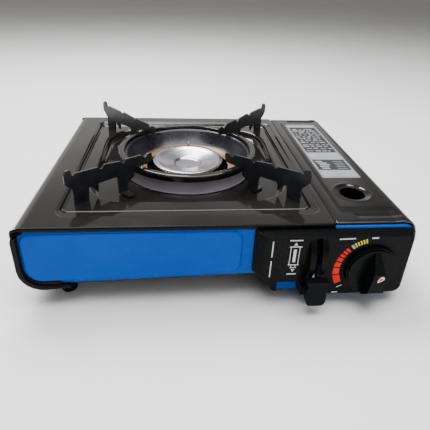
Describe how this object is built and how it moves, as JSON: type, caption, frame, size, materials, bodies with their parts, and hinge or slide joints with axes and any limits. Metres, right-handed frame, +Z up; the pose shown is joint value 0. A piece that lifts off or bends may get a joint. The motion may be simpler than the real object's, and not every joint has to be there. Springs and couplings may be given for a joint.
{
  "type": "camping stove",
  "caption": "Portable cassette gas stove: low steel case, round burner with four-legged pan support, hinged cartridge lid, knob and lock lever.",
  "frame": {"origin": "centre of the whole stove's footprint, knob and lever included, at table level", "axes": "+X to the right of a cook who faces the knob, +Y to the back, +Z up"},
  "size_m": [0.343, 0.307, 0.1116],
  "materials": {
    "enamel_black": "glossy enamel",
    "paint_black": "semi-gloss paint",
    "paint_blue": "gloss paint",
    "panel_plastic": "semi-gloss",
    "knob_plastic": "satin",
    "handle_plastic": "fine matte",
    "support_enamel": "satin enamel",
    "zinc_steel": "zinc plated",
    "burner_metal": "cast, lightly heat tinted",
    "polished_steel": "polished",
    "brass": "machined",
    "rubber_black": "matte",
    "white_plastic": "matte",
    "lead_red": "smooth",
    "ceramic_white": "glazed",
    "label_film": "silver printed film",
    "aluminium": "mill finish"
  },
  "bodies": {
    "casing": {"base_pan": "paint_black", "front_panel": "paint_blue", "top_cover": "enamel_black", "heat_shield": "zinc_steel", "heat_plate": "aluminium", "cartridge_cradle": "zinc_steel", "control_panel": "panel_plastic", "lid_hinge_leaves": "zinc_steel", "lid_hinge_pins": "zinc_steel", "burner_head": "burner_metal", "burner_port_ring": "polished_steel", "burner_cap": "polished_steel", "burner_stand": "zinc_steel", "mixing_tube": "zinc_steel", "air_shutter": "brass", "jet_nozzle": "brass", "gas_pipe": "brass", "pipe_nuts": "brass", "regulator_body": "burner_metal", "regulator_diaphragm": "rubber_black", "regulator_spring": "zinc_steel", "regulator_cover": "zinc_steel", "regulator_screws": "zinc_steel", "cartridge_socket": "zinc_steel", "socket_seal": "rubber_black", "piezo_igniter": "white_plastic", "igniter_lead": "lead_red", "electrode_insulator": "ceramic_white", "electrode": "zinc_steel", "electrode_bracket": "zinc_steel", "lever_bracket": "zinc_steel", "lever_pivot_pin": "zinc_steel", "foot_front_left": "rubber_black", "foot_front_right": "rubber_black", "foot_back_left": "rubber_black", "foot_back_right": "rubber_black", "base_screws": "zinc_steel"},
    "lid": {"lid": "enamel_black", "lid_label": "label_film"},
    "drip_tray": {"drip_tray": "enamel_black"},
    "pan_support": {"support_ring": "enamel_black", "leg_front_left": "support_enamel", "leg_front_right": "support_enamel", "leg_back_left": "support_enamel", "leg_back_right": "support_enamel", "leg_rivets": "polished_steel"},
    "knob": {"knob": "knob_plastic", "valve_spindle": "brass", "igniter_cam": "white_plastic"},
    "piezo_plunger": {"piezo_plunger": "white_plastic"},
    "lock_lever": {"lock_lever": "zinc_steel", "lever_handle": "handle_plastic", "crank_pin": "zinc_steel"},
    "cartridge_pusher": {"cartridge_pusher": "zinc_steel"}
  },
  "joints": [
    {"name": "lid_hinge", "type": "hinge", "parent": "casing", "child": "lid", "pos_m": [0.1686, 0.0115, 0.0385], "axis": [0, 1, 0], "range_deg": [0, 100]},
    {"name": "tray_lift", "type": "slide", "parent": "casing", "child": "drip_tray", "axis": [0, 0, 1], "range_m": [0, 0.06]},
    {"name": "pan_support_lift", "type": "slide", "parent": "drip_tray", "child": "pan_support", "axis": [0, 0, 1], "range_m": [0, 0.06]},
    {"name": "knob_turn", "type": "hinge", "parent": "casing", "child": "knob", "pos_m": [0.1295, -0.1465, 0.04], "axis": [0, -1, 0], "range_deg": [0, 130]},
    {"name": "plunger_slide", "type": "slide", "parent": "casing", "child": "piezo_plunger", "axis": [1, 0, 0], "range_m": [0, 0.0081]},
    {"name": "lock_lever_turn", "type": "hinge", "parent": "casing", "child": "lock_lever", "pos_m": [0.079, -0.1045, 0.05], "axis": [-1, 0, 0], "range_deg": [0, 50]},
    {"name": "pusher_slide", "type": "slide", "parent": "casing", "child": "cartridge_pusher", "axis": [0, 1, 0], "range_m": [0, 0.0082]}
  ],
  "couplings": [
    {"joint": "plunger_slide", "follows": "knob_turn", "m_per_rad": 0.0035},
    {"joint": "pusher_slide", "follows": "lock_lever_turn", "m_per_rad": 0.009201}
  ]
}
